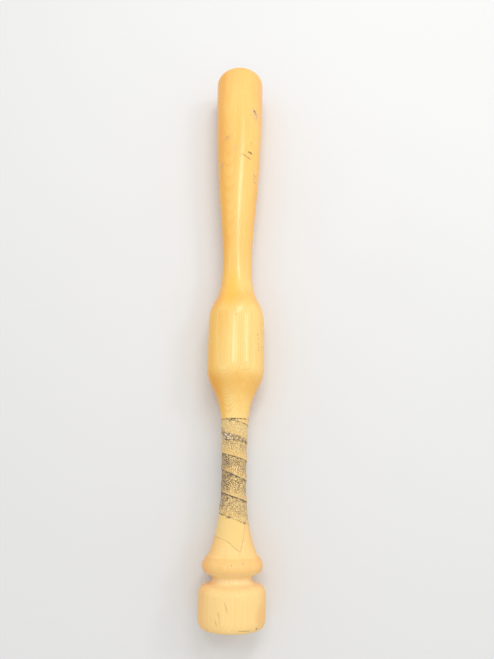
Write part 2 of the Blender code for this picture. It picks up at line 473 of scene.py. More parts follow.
# %% Where a point of the cloth goes
def point_of_cloth(tree, source, turns, place, from_edge):
    """The position of a point of the cloth, and its distance from the bat's axis."""
    angle = calc(tree, "MULTIPLY_ADD", turns, -math.tau, source["Start angle"])
    facing = [calc(tree, "SINE", angle), 0.0, calc(tree, "COSINE", angle)]
    outward = add(tree, "ShaderNodeCombineXYZ", facing).outputs[0]
    axis = add(tree, "ShaderNodeCombineXYZ", [0.0, place, 0.0]).outputs[0]
    on_wood = wood_radius(tree, source["Wood"], axis, outward)
    lift = lap_lift(tree, source, turns, place)
    rough = wrinkles(tree, source, outward, axis, from_edge)
    radius = fold(tree, "ADD", on_wood, lift, rough, CLOTH_GAP)
    arm = add(tree, "ShaderNodeVectorMath", {0: outward, "Scale": radius}, operation="SCALE").outputs[0]
    return combine(tree, "ADD", arm, axis), radius


print("helper ready: point_of_cloth")

# %% [markdown]
# ## A winding in Geometry Nodes
#
# A flat grid is the unwound strip: its columns run along the length and its rows across the width. The
# grid is 1 wide and lies about the origin, so half is added to count from its corner. The tree turns each
# column's number into turns, and each row's number into a place between the two edges. The cut corner
# comes from a lean: the further across the cloth a point lies, the later the strip starts there. The
# distances to the edges are stored with the mesh, because dirt and wear follow them.

# %% A winding in Geometry Nodes
HALF_THE_GRID = 0.5
STRIP_INPUTS = {
    "Wood": "Object", "Turns": "Float", "Sections": "Int", "Lines": "Int", "Width": "Float",
    "Start place": "Float", "Top place": "Float", "Start angle": "Float", "Cut lean": "Float",
    "Thickness": "Float", "Wrinkle": "Float", "Material": "Material",
}


def store(tree, geometry, name, value):
    """Keeps a number on every point of the mesh, for the materials and later trees."""
    feeds = {"Geometry": geometry, "Name": name, "Value": value}
    return add(tree, "GeometryNodeStoreNamedAttribute", feeds, data_type="FLOAT").outputs[0]


def strip_tree():
    """The tree that winds a flat strip of cloth round the wood."""
    tree, source = new_tree("wound_strip", STRIP_INPUTS)
    feeds = {"Vertices X": source["Sections"], "Vertices Y": source["Lines"]}
    grid = add(tree, "GeometryNodeMeshGrid", feeds)
    flat = add(tree, "GeometryNodeInputPosition").outputs[0]
    x, y, _ = add(tree, "ShaderNodeSeparateXYZ", [flat]).outputs
    along = calc(tree, "ADD", x, HALF_THE_GRID)
    across = calc(tree, "ADD", y, HALF_THE_GRID)
    wound = calc(tree, "MULTIPLY", along, source["Turns"])
    turns = calc(tree, "SUBTRACT", wound, calc(tree, "MULTIPLY", across, source["Cut lean"]))
    low, high = strip_edges(tree, source, turns)
    next_low, _ = strip_edges(tree, source, calc(tree, "ADD", turns, 1.0))
    place = calc(tree, "MULTIPLY_ADD", across, calc(tree, "SUBTRACT", high, low), low)
    from_edge = calc(tree, "SUBTRACT", place, low)
    goal, radius = point_of_cloth(tree, source, turns, place, from_edge)
    measures = {
        "turns": turns,
        "from_edge": from_edge,
        "to_next": calc(tree, "SUBTRACT", next_low, place),
        "to_top": calc(tree, "SUBTRACT", source["Top place"], place),
        "from_cut": fold(tree, "MULTIPLY", wound, math.tau, radius),
    }
    sheet = grid.outputs[0]
    for name, value in measures.items():
        sheet = store(tree, sheet, name, value)
    laid = add(tree, "GeometryNodeSetPosition", {"Geometry": sheet, "Position": goal}).outputs[0]
    smooth = add(tree, "GeometryNodeSetShadeSmooth", [laid]).outputs[0]
    end_tree(tree, smooth, source["Material"])
    return tree


winding = strip_tree()
print("winding:", len(winding.nodes), "nodes")

# %% [markdown]
# ## Wind the strip
#
# The plain strip gives the lowest and the highest place of the cloth. The sizes of the real strip do the
# rest. The sheet without thickness is kept as well, because the loose threads will stand on it.

# %% Wind the strip
CLOTH_THICKNESS = 0.45 * MM

grip_cloth = bpy.data.materials.new("beige_grip_cloth")
strip_low, strip_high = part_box("grip_strip")
strip_values = {
    "Wood": turned_wood, "Turns": ALL_TURNS, "Sections": 780, "Lines": 30, "Width": 25 * MM,
    "Start place": strip_low.y, "Top place": strip_high.y, "Start angle": math.radians(20),
    "Cut lean": 0.12, "Thickness": CLOTH_THICKNESS, "Wrinkle": 0.25 * MM, "Material": grip_cloth,
}
wound_strip = run_tree("wound_strip", winding, strip_values)
cloth_sheet = wound_strip.data.copy()
print("strip:", len(wound_strip.data.polygons), "faces, places mm", strip_low.y / MM, strip_high.y / MM)

# %% [markdown]
# ## Give the cloth its thickness
#
# So far the strip is a sheet without thickness. A Solidify modifier adds the other side and the rim, so
# the edge of each turn stands up from the one below it and throws a small shadow, as real cloth tape does.

# %% Give the cloth its thickness
wall = wound_strip.modifiers.new("thickness", "SOLIDIFY")
wall.thickness = CLOTH_THICKNESS
wall.offset = 1.0
bake(wound_strip)
print("strip with thickness:", len(wound_strip.data.polygons), "faces")

# %% [markdown]
# ## One loose thread
#
# The strip's edges are cut, so short threads have worked loose. Each one is a bent tube that stands up and
# leans over: a Bezier curve through three points, with a small ring drawn along it. It has few faces,
# because there are many threads.

# %% One loose thread
THREAD_BEND = ((0.0, 0.0, 0.05), (0.4, 0.0, 1.0), (1.0, 0.35, 0.3))
THREAD_STEPS = 5
THREAD_SIDES = 3


def one_thread(tree, length, thickness):
    """A bent tube through three points, which are given as shares of its length."""
    start, middle, end = (
        add(tree, "ShaderNodeVectorMath", {0: point, "Scale": length}, operation="SCALE").outputs[0]
        for point in THREAD_BEND)
    feeds = {"Resolution": THREAD_STEPS, "Start": start, "Middle": middle, "End": end}
    curve = add(tree, "GeometryNodeCurveQuadraticBezier", feeds).outputs[0]
    feeds = {"Resolution": THREAD_SIDES, "Radius": thickness}
    ring = add(tree, "GeometryNodeCurvePrimitiveCircle", feeds).outputs[0]
    feeds = {"Curve": curve, "Profile Curve": ring, "Fill Caps": True}
    return add(tree, "GeometryNodeCurveToMesh", feeds).outputs[0]


print("helper ready: one_thread, with", THREAD_SIDES, "sides")

# %% [markdown]
# ## Loose threads along the edges
#
# Points are scattered on the cloth wherever the stored distance to an edge is small, and one thread stands
# on each, turned and sized at random. A fixed seed gives the same threads each time.

# %% Loose threads along the edges
SHORTEST_THREAD = 0.35
THREAD_INPUTS = {"Density": "Float", "Edge width": "Float", "Length": "Float", "Thickness": "Float",
                 "Seed": "Int", "Material": "Material"}


def thread_tree():
    """The tree that scatters loose threads along the edges of a wound strip."""
    tree, source = new_tree("loose_threads", THREAD_INPUTS)
    close_by = []
    for name in ("from_edge", "to_top"):
        stored = add(tree, "GeometryNodeInputNamedAttribute", {"Name": name}, data_type="FLOAT")
        close_by.append(calc(tree, "LESS_THAN", stored.outputs[0], source["Edge width"]))
    feeds = {"Mesh": source["Geometry"], "Selection": calc(tree, "MAXIMUM", *close_by),
             "Density": source["Density"], "Seed": source["Seed"]}
    roots = add(tree, "GeometryNodeDistributePointsOnFaces", feeds).outputs
    thread = one_thread(tree, source["Length"], source["Thickness"])
    feeds = {"Points": roots["Points"], "Instance": thread, "Rotation": roots["Rotation"]}
    standing = add(tree, "GeometryNodeInstanceOnPoints", feeds).outputs[0]
    feeds = {"Max": math.tau, "Seed": source["Seed"]}
    turn = add(tree, "FunctionNodeRandomValue", feeds, data_type="FLOAT").outputs[1]
    spin = add(tree, "ShaderNodeCombineXYZ", [0.0, 0.0, turn]).outputs[0]
    turned = add(tree, "GeometryNodeRotateInstances", {"Instances": standing, "Rotation": spin})
    feeds = {"Min": SHORTEST_THREAD, "Max": 1.0, "Seed": source["Seed"]}
    size = add(tree, "FunctionNodeRandomValue", feeds, data_type="FLOAT").outputs[1]
    sized = add(tree, "GeometryNodeScaleInstances", {"Instances": turned.outputs[0], "Scale": size})
    end_tree(tree, sized.outputs[0], source["Material"])
    return tree


thread_cotton = bpy.data.materials.new("thread_cotton")
thread_values = {"Density": 6e5, "Edge width": 0.7 * MM, "Length": 2.4 * MM, "Thickness": 0.08 * MM,
                 "Seed": 7, "Material": thread_cotton}
loose_threads = run_tree("loose_threads", thread_tree(), thread_values, cloth_sheet)
print("loose threads:", len(loose_threads.data.polygons), "faces")

# %% [markdown]
# ## Tools for patterns
#
# A finish starts with patterns that say where something is and how strong. These helpers open a material,
# stretch a noise by its own amount along each axis, measure a distance, and mark a range of a value.

# %% Tools for patterns
def open_material(material):
    """The node tree of a material and its shader."""
    material.use_nodes = True
    return material.node_tree, material.node_tree.nodes["Principled BSDF"]


def stretched_noise(tree, vector, scales, detail, rough=0.5):
    """A random pattern with its own scale along each axis."""
    return noise(tree, combine(tree, "MULTIPLY", vector, scales), 1.0, detail, rough)


def distance(tree, first, second):
    """The straight distance that two lengths at right angles make."""
    squares = calc(tree, "MULTIPLY_ADD", first, first, calc(tree, "MULTIPLY", second, second))
    return calc(tree, "SQRT", squares)


def within(tree, value, rise, fall):
    """One between a rising and a falling range of the value, and none outside."""
    return calc(tree, "MULTIPLY", ramp(tree, value, *rise), ramp(tree, value, *fall))


print("helpers ready: open_material, stretched_noise, distance, within")

# %% [markdown]
# ## Grain that runs through the billet
#
# Maple is pale, with thin darker growth rings. Rings are shells round the heart of the tree, so the finish
# is made the same way: the distance from a heart line, which lies well outside the bat and leans a little,
# is cut into even steps. Where the lathe cuts through these shells at a shoulder they show as arcs, and
# along the bulge as straight lines, with no picture and no seam. A slow noise makes the rings wander, and
# each ring gets its own strength. The bat's own Object coordinates carry the pattern, so it stays put in
# the wood.

# %% Grain that runs through the billet
HEART_ANGLE = math.radians(153)
HEART_DISTANCE = 75 * MM
HEART_LEAN_ACROSS, HEART_LEAN_UP = -0.006, 0.004
RING_WIDTH = 1.2 * MM
RING_DARKENS, RING_ENDS = (0.25, 0.88), (1.0, 0.92)
WANDER_SCALES = (22.0, 3.5, 22.0)
WANDER_REACH = 5 * MM
FAINTEST_RING = 0.25

wood, wood_shader = open_material(hardwood)
coords = add(wood, "ShaderNodeTexCoord").outputs
wood_spot = coords["Object"]
x, place, z = add(wood, "ShaderNodeSeparateXYZ", [wood_spot]).outputs
heart_x = HEART_DISTANCE * math.sin(HEART_ANGLE)
heart_z = HEART_DISTANCE * math.cos(HEART_ANGLE)
aside = calc(wood, "SUBTRACT", calc(wood, "MULTIPLY_ADD", place, HEART_LEAN_ACROSS, x), heart_x)
depth = calc(wood, "SUBTRACT", calc(wood, "MULTIPLY_ADD", place, HEART_LEAN_UP, z), heart_z)
wander = stretched_noise(wood, wood_spot, WANDER_SCALES, 3.0)
from_heart = calc(wood, "MULTIPLY_ADD", wander, WANDER_REACH, distance(wood, aside, depth))
phase = calc(wood, "DIVIDE", from_heart, RING_WIDTH)
late = within(wood, calc(wood, "FRACT", phase), RING_DARKENS, RING_ENDS)
ring_number = calc(wood, "FLOOR", phase)
own = add(wood, "ShaderNodeTexWhiteNoise", {"W": ring_number}, noise_dimensions="1D").outputs[0]
own_strength = calc(wood, "MULTIPLY_ADD", own, 1 - FAINTEST_RING, FAINTEST_RING)
rings = calc(wood, "MULTIPLY", late, own_strength)
print("ring width mm:", RING_WIDTH / MM, "heart at mm:", HEART_DISTANCE / MM)

# %% [markdown]
# ## Fibres, streaks and flecks
#
# Between the rings the wood isn't even. Fine fibres and longer streaks run along the bat, short ray flecks
# lie among them, and broad patches are a little darker or redder. Each is a noise stretched by its own
# amounts: a large number across the grain and a small one along it give a thin, long pattern.

# %% Fibres, streaks and flecks
FIBRE_SCALES = (1500.0, 38.0, 1500.0)
STREAK_SCALES = (420.0, 7.0, 420.0)
RAY_SCALES = (900.0, 210.0, 900.0)
PATCH_SCALES = (38.0, 13.0, 38.0)
FLECK_LIMITS = (0.60, 0.72)

fibres = stretched_noise(wood, wood_spot, FIBRE_SCALES, 4.0, 0.6)
streaks = stretched_noise(wood, wood_spot, STREAK_SCALES, 2.0, 0.6)
rays = stretched_noise(wood, wood_spot, RAY_SCALES, 1.0)
patches = stretched_noise(wood, wood_spot, PATCH_SCALES, 3.0)
flecks = ramp(wood, rays, *FLECK_LIMITS)
print("flecks show where the rays' noise is over", FLECK_LIMITS[0])

# %% [markdown]
# ## Open ends of the grain
#
# Where the lathe cuts across the fibres, as on the shoulders, the open ends drink more finish and look
# deeper. On the lacquered shoulders that deeper tone is also painted shade, for slopes that face away from
# the light. The surface normal tells where that is: the more it points along the bat, the more ends show.
# The flat end of the knob and the crown of the tip are cut right across, so they show rings and pores.

# %% Open ends of the grain
KNOB_FACE, TIP_CROWN = (12 * MM, 8 * MM), (580 * MM, 590 * MM)
ENDS_SHOW, FLAT_ENDS_SHOW = (0.08, 0.6), (0.80, 0.97)
PORE_SCALE, PORE_LIMITS = 1600.0, (0.56, 0.7)

normal_along = add(wood, "ShaderNodeSeparateXYZ", [coords["Normal"]]).outputs[1]
steepness = calc(wood, "ABSOLUTE", normal_along)
ends = ramp(wood, steepness, *ENDS_SHOW)
at_an_end = calc(wood, "MAXIMUM", ramp(wood, place, *KNOB_FACE), ramp(wood, place, *TIP_CROWN))
flat_end = calc(wood, "MULTIPLY", ramp(wood, steepness, *FLAT_ENDS_SHOW), at_an_end)
pores = ramp(wood, noise(wood, wood_spot, PORE_SCALE, 1.0), *PORE_LIMITS)
pores = calc(wood, "MULTIPLY", pores, ends)
print("flat ends below mm", KNOB_FACE[1] / MM, "and above mm", TIP_CROWN[1] / MM)

# %% [markdown]
# ## Tools for colours
#
# A finish is built up like paint: the patterns are weighed and added up, and colours are laid over each
# other by those amounts. The Mix node has its own sockets for each kind of data. Counted from none, its
# inputs 6 and 7 and its output 2 are the ones for colours.

# %% Tools for colours
def centred(tree, pattern):
    """The pattern moved down, so that its middle is none."""
    return calc(tree, "SUBTRACT", pattern, 0.5)


def weigh(tree, total, parts):
    """The total plus each pattern times its weight."""
    for pattern, weight in parts:
        total = calc(tree, "MULTIPLY_ADD", pattern, weight, total)
    return total


def blend(tree, share, first, second, way="MIX"):
    """The second colour over the first, by the given share."""
    feeds = {0: share, 6: first, 7: second}
    return add(tree, "ShaderNodeMix", feeds, data_type="RGBA", blend_type=way).outputs[2]


print("helpers ready: centred, weigh, blend")

# %% [markdown]
# ## Lacquer above the grip, bare wood below
#
# The barrel, the neck and the bulge have a clear lacquer, which makes maple warmer and shiny. The handle's
# end, the bead and the knob are sanded and left bare: paler and dull. The change hides under the grip. The
# groove above the knob is painted paler still, as painted light that lifts the shade in the recess. Each
# part has a pale and a deep colour, and the patterns of the grain decide how much of the deep one shows.

# %% Lacquer above the grip, bare wood below
BARE_PALE, BARE_DEEP = (0.97, 0.69, 0.28, 1.0), (0.88, 0.51, 0.175, 1.0)
LACQUERED_PALE, LACQUERED_DEEP = (0.96, 0.70, 0.265, 1.0), (0.90, 0.49, 0.10, 1.0)
GROOVE_PAINTED_LIGHT = (0.97, 0.78, 0.42, 1.0)
LACQUER_STARTS = (120 * MM, 165 * MM)
BARREL_TONE_STARTS = (255 * MM, 390 * MM)
GROOVE_STARTS, GROOVE_ENDS = (31.5 * MM, 36 * MM), (47 * MM, 43 * MM)
BEAD_STARTS, BEAD_ENDS = (43 * MM, 46 * MM), (57.6 * MM, 56.8 * MM)
RINGS_SHOW, LEAST_DEEP = 0.2, 0.12
BARE_END_TONE, LACQUERED_END_TONE = 0.15, -0.45

lacquer = ramp(wood, place, *LACQUER_STARTS)
barrel_tone_share = ramp(wood, place, *BARREL_TONE_STARTS)
bead = within(wood, place, BEAD_STARTS, BEAD_ENDS)
groove_painted_light = within(wood, place, GROOVE_STARTS, GROOVE_ENDS)
pale = blend(wood, lacquer, BARE_PALE, LACQUERED_PALE)
# Painted light: the groove's colour is lifted to a paler one, in place of the light that the recess lacks.
pale = blend(wood, groove_painted_light, pale, GROOVE_PAINTED_LIGHT)
deep = blend(wood, lacquer, BARE_DEEP, LACQUERED_DEEP)

ring_changes = ((lacquer, 0.26), (bead, 0.15), (barrel_tone_share, -0.2), (flat_end, 0.35))
deepness = calc(wood, "MULTIPLY", rings, weigh(wood, RINGS_SHOW, ring_changes))
grain = [(centred(wood, fibres), 0.5), (centred(wood, streaks), 0.55), (centred(wood, patches), 0.9)]
# Partly painted shade: on the lacquer, surfaces facing along the bat get deeper, for open end grain and for
# shoulders turned from the light.
lacquered_ends_and_shade = calc(wood, "MULTIPLY", ends, lacquer)
end_weight = calc(wood, "MULTIPLY_ADD", lacquer, LACQUERED_END_TONE - BARE_END_TONE, BARE_END_TONE)
end_tone = calc(wood, "MULTIPLY", flat_end, end_weight)
grain += [(flecks, 0.22), (lacquered_ends_and_shade, 0.68), (end_tone, 1.0), (pores, 0.25)]
deepness = calc(wood, "ADD", weigh(wood, deepness, grain), LEAST_DEEP)
deepness.node.use_clamp = True
wood_colour = blend(wood, deepness, pale, deep)
print("lacquer starts under the grip, from mm", LACQUER_STARTS[0] / MM, "to", LACQUER_STARTS[1] / MM)

# %% [markdown]
# ## Barrel, bead and tip
#
# Some parts get a tone of their own. Above the bulge a warmer, deeper tone comes in, and it is full on the
# barrel. The bead is a little duller and the tip a little deeper. A tone is multiplied into the colour, as
# a thin glaze would be, so the grain stays visible through it.

# %% Barrel, bead and tip
BARREL_TONE = (0.985, 0.86, 0.69, 1.0)
BEAD_TONE = (0.98, 0.90, 0.82, 1.0)
TIP_TONE = (0.99, 0.93, 0.90, 1.0)
TIP_STARTS = (545 * MM, 595 * MM)

tip = ramp(wood, place, *TIP_STARTS)
for stretch, tone in ((barrel_tone_share, BARREL_TONE), (bead, BEAD_TONE), (tip, TIP_TONE)):
    wood_colour = blend(wood, stretch, wood_colour, tone, "MULTIPLY")
print("the barrel has its full tone above mm", BARREL_TONE_STARTS[1] / MM)

# %% [markdown]
# ## Painted shade on the flanks
#
# Light falls on the side that lies up, and less of it reaches the flanks, so the flanks get painted shade:
# a deeper, warmer tone is multiplied in there, most of all where there is lacquer. How far a point looks up
# is its height over the axis divided by its radius, with a slight lean to the right. On the flat ends that
# share means nothing, so they get an even half of the painted shade.

# %% Painted shade on the flanks
BARE_FLANK_SHADE, LACQUERED_FLANK_SHADE = (0.99, 0.865, 0.80, 1.0), (0.99, 0.81, 0.45, 1.0)
BARREL_FLANK_SHADE = (0.98, 0.79, 0.36, 1.0)
FLANK_STARTS, FLANK_FULL = 0.95, 0.3
BARE_LEAN, LACQUER_LEANS = 0.13, 0.08
FLAT_END_SHADE_SHARE = 0.5

lean = calc(wood, "MULTIPLY_ADD", lacquer, LACQUER_LEANS, BARE_LEAN)
upward = calc(wood, "MULTIPLY_ADD", x, lean, z)
radius = calc(wood, "MAXIMUM", distance(wood, x, z), MM)
sides = ramp(wood, calc(wood, "DIVIDE", upward, radius), FLANK_STARTS, FLANK_FULL)
to_even = calc(wood, "SUBTRACT", FLAT_END_SHADE_SHARE, sides)
sides = calc(wood, "MULTIPLY_ADD", flat_end, to_even, sides)
flank_shade_tone = blend(wood, lacquer, BARE_FLANK_SHADE, LACQUERED_FLANK_SHADE)
flank_shade_tone = blend(wood, barrel_tone_share, flank_shade_tone, BARREL_FLANK_SHADE)
# Painted shade: the flanks are darkened and warmed here, where less light falls.
wood_colour = blend(wood, sides, wood_colour, flank_shade_tone, "MULTIPLY")
print("flanks are deepest where they look up by less than", FLANK_FULL)

# %% [markdown]
# ## One mark on a round surface
#
# The bat has been used and dropped, and every mark on it is a spot of some kind. One node group draws any
# of them: a long spot with a ragged rim, laid on the round surface at a place along the bat and an angle
# round it. Length and width are measured on the surface, and the lean turns the spot. A noise moves the
# rim in and out, so no spot is a clean oval.

# %% One mark on a round surface
RAGGED_SCALE = 1.3
RAGGEDNESS = 1.4
MARK_FADES, MARK_FULL = 1.15, 0.35


def mark_group():
    """A node group that gives the share of one long spot on the turned surface, in mm and degrees."""
    group = bpy.data.node_groups.new("mark", "ShaderNodeTree")
    for label in ("Place", "Angle", "Length", "Width", "Lean"):
        group.interface.new_socket(label, in_out="INPUT", socket_type="NodeSocketFloat")
    group.interface.new_socket("Share", in_out="OUTPUT", socket_type="NodeSocketFloat")
    source = group.nodes.new("NodeGroupInput").outputs
    spot = add(group, "ShaderNodeTexCoord").outputs["Object"]
    spot = combine(group, "MULTIPLY", spot, (1 / MM,) * 3)
    x, place, z = add(group, "ShaderNodeSeparateXYZ", [spot]).outputs
    turned = calc(group, "SUBTRACT", calc(group, "ARCTAN2", x, z), calc(group, "RADIANS", source["Angle"]))
    turned = calc(group, "WRAP", turned, math.pi, -math.pi)
    around = calc(group, "MULTIPLY", turned, distance(group, x, z))
    along = calc(group, "SUBTRACT", place, source["Place"])
    lean = calc(group, "RADIANS", source["Lean"])
    cosine, sine = calc(group, "COSINE", lean), calc(group, "SINE", lean)
    lengthwise = calc(group, "MULTIPLY_ADD", along, cosine, calc(group, "MULTIPLY", around, sine))
    around, along = calc(group, "MULTIPLY", around, cosine), calc(group, "MULTIPLY", along, sine)
    crosswise = calc(group, "SUBTRACT", around, along)
    far = calc(group, "DIVIDE", lengthwise, calc(group, "MULTIPLY", source["Length"], 0.5))
    wide = calc(group, "DIVIDE", crosswise, calc(group, "MULTIPLY", source["Width"], 0.5))
    ragged = centred(group, noise(group, spot, RAGGED_SCALE, 2.0))
    reach = calc(group, "MULTIPLY_ADD", ragged, RAGGEDNESS, distance(group, far, wide))
    add(group, "NodeGroupOutput", [ramp(group, reach, MARK_FADES, MARK_FULL)])
    return group


mark = mark_group()
print("mark:", len(mark.nodes), "nodes")

# %% [markdown]
# ## Marks of use
#
# There are a few dark nicks on the barrel, brown scuffs, scratches on the knob and the bulge, grey smudges,
# and two places where the wood is a shade deeper or warmer. Each row gives a mark's place along the bat in
# millimetres, its angle round it in degrees, its length and width, and its lean. They are sorted by kind.

# %% Marks of use
MARKS = {
    "nick": [(542.4, 42.0, 4.4, 3.8, 110), (539.8, 46.5, 3.0, 2.4, 120), (483.5, 29, 3.4, 2.6, 127),
             (483.0, 35.1, 4.2, 3.2, 127), (3.1, 48.4, 2.4, 1.9, 70), (52.3, -0.5, 0.9, 0.8, 66)],
    "scuff": [(477.9, 16.7, 7.5, 2.0, 121), (475.9, 28, 9.5, 2.2, 105), (2.8, 25, 15.5, 0.9, 93),
              (496.1, 33.5, 7.0, 1.0, 178)],
    "scratch": [(282.3, 1.8, 6.4, 1.0, 69), (232.9, 21.7, 2.6, 1.6, 57), (226.5, 23.6, 9.0, 0.8, 82),
                (20.7, -8.2, 12.0, 1.6, 161), (14.8, -20.4, 5.5, 1.8, 158), (8.4, -24.4, 7.0, 1.6, 158),
                (11.5, -19.0, 12.0, 1.0, 172), (457.0, 55, 7.5, 3.6, 85), (453.0, 52.5, 5.0, 2.4, 88),
                (449.2, 55.5, 7.5, 3.6, 85), (264.5, 50, 4.2, 3.0, 0), (260.0, 51, 2.8, 2.2, 0),
                (255.0, 52.3, 3.2, 2.4, 0), (251.5, 52.7, 2.8, 2.2, 0), (248.4, 52.7, 3.8, 3.0, 0)],
    "smudge": [(535.1, 30.6, 5.5, 2.0, 178), (532.5, 39.1, 4.0, 1.4, 178), (534.5, 46.2, 4.0, 1.4, 178),
               (531.9, 66, 8.0, 3.4, 170), (478.2, 5.9, 4.4, 2.8, 120), (491.3, -8.1, 4.0, 1.6, 180),
               (485.1, -9.0, 8.0, 5.0, 180), (469.2, -50.4, 11.0, 6.0, 187), (455.4, 45.4, 6.0, 1.8, 175),
               (456.6, 51.2, 6.0, 1.8, 175), (537.5, 46, 18.0, 11.0, 175), (53.3, 21.5, 3.2, 2.0, 99),
               (503.6, -32, 11.0, 6.0, 67), (541.0, 39, 13.0, 7.0, 170)],
    "shade": [(12.0, 57, 22.0, 18.0, 0)],
    "warmth": [(315.0, -17, 62.0, 19.0, 0)],
}
print("marks:", {kind: len(rows) for kind, rows in MARKS.items()})

# %% [markdown]
# ## Lay the marks on the wood
#
# The marks of one kind are joined into one pattern, so each kind has its own colour and strength: the nicks
# are nearly black and full, and the scratches are brown and faint. The smudges are only rubbed on, so the
# rays of the wood break them up.

# %% Lay the marks on the wood
MARK_FINISH = {
    "nick": ((0.07, 0.05, 0.04, 1.0), 0.92), "scuff": ((0.26, 0.16, 0.09, 1.0), 0.7),
    "scratch": ((0.45, 0.27, 0.12, 1.0), 0.42), "smudge": ((0.42, 0.32, 0.29, 1.0), 0.5),
    "shade": ((0.84, 0.47, 0.16, 1.0), 0.5), "warmth": ((1.0, 0.53, 0.06, 1.0), 0.6),
}
SMUDGE_BREAKS = (0.38, 0.62, 0.25, 1.0)


def join_marks(tree, rows):
    """One pattern that holds the marks of these sizes."""
    singles = [add(tree, "ShaderNodeGroup", sizes, node_tree=mark).outputs[0] for sizes in rows]
    return fold(tree, "MAXIMUM", 0.0, *singles)


def paint(tree, base, pattern, finish):
    """The base colour with the finish, a colour and its strength, laid over it where the pattern is."""
    colour, strength = finish
    return blend(tree, calc(tree, "MULTIPLY", pattern, strength), base, colour)


worn = {kind: join_marks(wood, rows) for kind, rows in MARKS.items()}
worn["smudge"] = calc(wood, "MULTIPLY", worn["smudge"], ramp(wood, rays, *SMUDGE_BREAKS))
for kind, pattern in worn.items():
    wood_colour = paint(wood, wood_colour, pattern, MARK_FINISH[kind])
wood.links.new(wood_colour, wood_shader.inputs["Base Color"])
print("kinds of marks:", list(worn))

# %% [markdown]
# ## Shine and touch of the wood
#
# Roughness and bump finish the wood. Lacquer fills the pores, so the barrel is smooth with a soft shine
# that is a little uneven from handling. The bare end is duller, and one can feel its fibres and the faint
# ripples that the gouge left round it. Nicks, scuffs and scratches go into the surface.

# %% Shine and touch of the wood
BARE_ROUGHNESS, LACQUER_SMOOTHS = 0.52, -0.31
GLOSS = 0.32
LACQUER_FILLS = 0.75
RIPPLE_SCALES, RIPPLE_SHARE = (6.0, 900.0, 6.0), 0.3
FEEL_DEPTH = 0.03 * MM


def feel(tree, shader, relief, deep, strength=1.0):
    """Lets the light fall as if the surface had this relief."""
    bump = add(tree, "ShaderNodeBump", {"Strength": strength, "Distance": deep, "Height": relief})
    tree.links.new(bump.outputs[0], shader.inputs["Normal"])


dullness = [(lacquer, LACQUER_SMOOTHS), (centred(wood, patches), 0.12), (centred(wood, fibres), 0.10),
            (worn["scuff"], 0.25), (worn["smudge"], 0.2), (worn["nick"], 0.3)]
wood.links.new(weigh(wood, BARE_ROUGHNESS, dullness), wood_shader.inputs["Roughness"])
wood_shader.inputs["Specular IOR Level"].default_value = GLOSS

bare = calc(wood, "SUBTRACT", 1.0, calc(wood, "MULTIPLY", lacquer, LACQUER_FILLS))
ripples = stretched_noise(wood, wood_spot, RIPPLE_SCALES, 1.0)
open_grain = calc(wood, "MULTIPLY_ADD", ripples, RIPPLE_SHARE, fibres)
open_grain = calc(wood, "MULTIPLY", open_grain, bare)
hollows = [(rings, 0.15), (worn["nick"], -5.0), (worn["scuff"], -2.0), (worn["scratch"], -1.5)]
feel(wood, wood_shader, weigh(wood, open_grain, hollows), FEEL_DEPTH)
print("wood nodes:", len(wood.nodes))

# %% [markdown]
# ## Read what the winding stored
#
# The grip is beige cotton tape, and each part of it has its own history, so its finish has to know which
# part it is on. It reads the numbers stored while winding: how many turns have passed, and the distances
# to the edges. Sideways, the bat's own coordinates tell the left side, which the hand has soiled most.

# %% Read what the winding stored
LEFT_SIDE = (-2 * MM, -12 * MM)


def read_back(tree, name):
    """A number that was stored on the mesh."""
    return add(tree, "ShaderNodeAttribute", attribute_name=name).outputs["Fac"]


cloth, cloth_shader = open_material(grip_cloth)
cloth_spot = add(cloth, "ShaderNodeTexCoord").outputs["Object"]
cloth_x = add(cloth, "ShaderNodeSeparateXYZ", [cloth_spot]).outputs[0]
left = ramp(cloth, cloth_x, *LEFT_SIDE)
stored_names = ("turns", "from_edge", "to_next", "to_top", "from_cut")
turns, from_edge, to_next, to_top, from_cut = (read_back(cloth, name) for name in stored_names)
print("read back:", stored_names)

# %% [markdown]
# ## Dirt of each turn
#
# The first turn is almost clean, and the middle ones are brown from hands, most of all on the left. A Color
# Ramp gives each turn its own share of dirt: the stops come in pairs, one at each end of a turn, so the
# share changes in steps. A cloudy noise makes the dirt patchy, and near the lower edge there is less,
# because that edge is rubbed clean.

# %% Dirt of each turn
CLEAN_COTTON, SOILED_COTTON = (0.97, 0.675, 0.25, 1.0), (0.40, 0.20, 0.08, 1.0)
EDGE_TONE = (1.0, 0.94, 0.82, 1.0)
TURN_DIRT = [(0.0, 0.0), (0.6, 0.01), (0.7, 0.21), (1.6, 0.23), (1.7, 0.25), (2.6, 0.25), (2.7, 0.26),
             (3.6, 0.26), (3.7, 0.16), (4.6, 0.17), (4.7, 0.12), (6.1, 0.05)]
MIDDLE_STARTS, MIDDLE_ENDS = (0.8, 1.7), (3.7, 3.5)
HANDLED_DIRT = 0.40
CLOUD_SCALE, CLOUDINESS, LEAST_CLOUDY = 260.0, 1.2, 0.4
EDGE_RUBBED = (1 * MM, 9 * MM, 0.5, 1.2)
EDGE_PALER, AFTER_START = (8 * MM, 3 * MM), (0.9, 1.0)


def grey_steps(tree, value, stops, whole):
    """A value that follows (position, grey) stops, where the positions count up to a whole."""
    node = add(tree, "ShaderNodeValToRGB", [calc(tree, "DIVIDE", value, whole)])
    elements = node.color_ramp.elements
    for number, (position, grey) in enumerate(stops):
        element = elements[number] if number < 2 else elements.new(position / whole)
        element.position = position / whole
        element.color = (grey, grey, grey, 1.0)
    return node.outputs[0]


